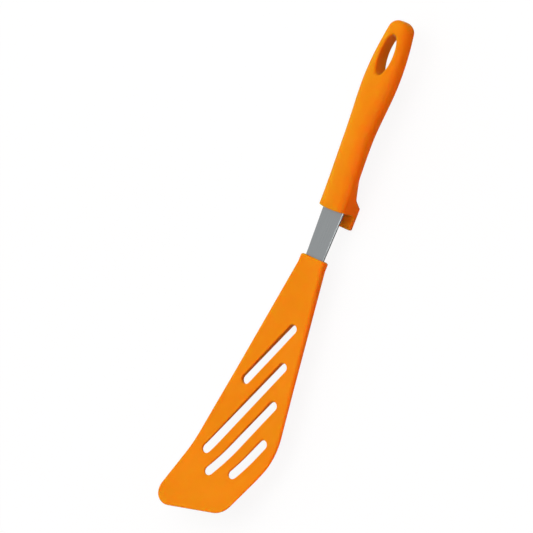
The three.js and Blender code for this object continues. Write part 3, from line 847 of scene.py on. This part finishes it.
floor_mesh = bpy.data.meshes.new("white_sheet")
floor_mesh.from_pydata(sheet_corners, [], [(0, 1, 2, 3)])
floor = bpy.data.objects.new("white_sheet", floor_mesh)
bpy.context.scene.collection.objects.link(floor)
paper, tree, shader, place = new_finish("white_paper")
paper_tone = tones(tree, patches(tree, place, PAPER_PATCH), PAPER_DARK, PAPER_LIGHT)
seen = plain_to_see(tree)
plug(tree, shader.inputs["Base Color"], mix_colours(tree, seen, PAPER_BOUNCE, paper_tone))
plug(tree, shader.inputs["Roughness"], PAPER_ROUGHNESS)
plug(tree, shader.inputs["Specular IOR Level"], 0.0)
white = add(tree, "ShaderNodeEmission", Color=(1, 1, 1, 1), Strength=OWN_WHITE)
own_share = calc(tree, "MULTIPLY", seen, OWN_SHARE)
layers = {0: own_share, 1: shader.outputs[0], 2: white.outputs[0]}
sheet = add(tree, "ShaderNodeMixShader", by_place=layers)
plug(tree, tree.nodes["Material Output"].inputs["Surface"], sheet.outputs[0])
floor_mesh.materials.append(paper)
print("the sheet is", 2 * SHEET_HALF, "m wide and lies at the height of the foot")

# %% [markdown]
# ## A tent that is lit on one side
# Small things are photographed in a tent of white cloth with a lamp outside. One side of the cloth
# glows, the other stays dim, and the light on the tool fades gently from left to right with no hard
# shadow. A world whose strength depends on the direction does the same, and it still looks plain
# white to the camera and in reflections.

# %% The glowing cloth
LIT_SIDE = (-0.67, 0.22, 0.71)
tent_glow = {"From_Min": -0.15, "From_Max": 0.45, "To_Min": 0.02, "To_Max": 0.82}
world = bpy.data.worlds.new("white_room")
bpy.context.scene.world = world
world.use_nodes = True
tree = world.node_tree
direction = tree.nodes.new("ShaderNodeTexCoord").outputs["Generated"]
dot = add(tree, "ShaderNodeVectorMath", {"operation": "DOT_PRODUCT"}, {0: direction, 1: LIT_SIDE})
tent_light = add(tree, "ShaderNodeMapRange", Value=dot.outputs["Value"], **tent_glow).outputs[0]
strength = add(tree, "ShaderNodeMapRange", Value=plain_to_see(tree), To_Min=tent_light, To_Max=1.0)
background = tree.nodes["Background"]
plug(tree, background.inputs["Strength"], strength.outputs[0])
plug(tree, background.inputs["Color"], (1, 1, 1, 1))
print("the cloth glows from", tent_glow["To_Min"], "to", tent_glow["To_Max"])

# %% [markdown]
# ## The lamps
# A broad key in front keeps the flat faces even. A long reddish card low on the right stands for the
# orange glow that such plastic throws on its own shaded side. A small lamp on the right lights nothing:
# it is only mirrored, as a thin gleam along the broken edge of the steel.

# %% Key, card and gleam
LAMP_DISTANCE = 3.0
REDDISH = (1.0, 0.07, 0.02)


def soft_lamp(name, towards, size, watts, colour=(1, 1, 1), lights=True, mirrored=True):
    """A soft lamp of some length and width in metres, facing the spatula."""
    lamp = bpy.data.lights.new(name, "AREA")
    lamp.shape, lamp.energy, lamp.color = "RECTANGLE", watts, colour
    lamp.size, lamp.size_y = size
    holder = bpy.data.objects.new(name, lamp)
    towards = Vector(towards).normalized()
    holder.location = towards * LAMP_DISTANCE
    holder.visible_diffuse, holder.visible_glossy = lights, mirrored
    holder.rotation_euler = towards.to_track_quat("Z", "Y").to_euler()
    bpy.context.scene.collection.objects.link(holder)
    print(name, "of", watts, "W at", [round(v, 2) for v in holder.location])


soft_lamp("edge_gleam", towards=(0.84, -0.09, 0.47), size=(0.9, 0.9), watts=18.0, lights=False)
card = {"size": (3.0, 0.6), "watts": 45.0, "colour": REDDISH, "mirrored": False}
soft_lamp("warm_card", towards=(0.97, -0.1, 0.12), **card)
soft_lamp("soft_key", towards=(-0.1, 0.2, 0.97), size=(3.0, 2.0), watts=36.0, mirrored=False)

# %% [markdown]
# ## The camera
# The camera looks down on the front from thirty degrees to the right and is rolled, so that the tool
# stands diagonally in the picture. It is far off with a long lens: lines that are parallel on the tool
# stay nearly parallel in the picture.

# %% A far camera with a long lens
TURN, TILT, ROLL = (math.radians(a) for a in (30.0, 5.0, 21.46))
SENSOR, LENS, FIELD = 36.0, 1200.0, 0.3446
picture_middle = Vector((-0.03127, -0.04965, 0.01645))
sight = Vector((math.sin(TURN) * math.cos(TILT), math.sin(TILT), math.cos(TURN) * math.cos(TILT)))
side = Vector((math.cos(TURN), 0.0, -math.sin(TURN)))
up = sight.cross(side)
rolled_side = math.cos(ROLL) * side + math.sin(ROLL) * up
rolled_up = math.cos(ROLL) * up - math.sin(ROLL) * side
camera_data = bpy.data.cameras.new("camera")
camera_data.sensor_width = SENSOR
camera_data.lens = LENS
camera = bpy.data.objects.new("camera", camera_data)
camera.matrix_world = Matrix((rolled_side, rolled_up, sight)).transposed().to_4x4()
camera.location = picture_middle + sight * (FIELD * LENS / SENSOR)
bpy.context.scene.collection.objects.link(camera)
bpy.context.scene.camera = camera
bpy.context.scene.view_settings.view_transform = "Standard"
print("camera", round((camera.location - picture_middle).length, 2), "m from the spatula")
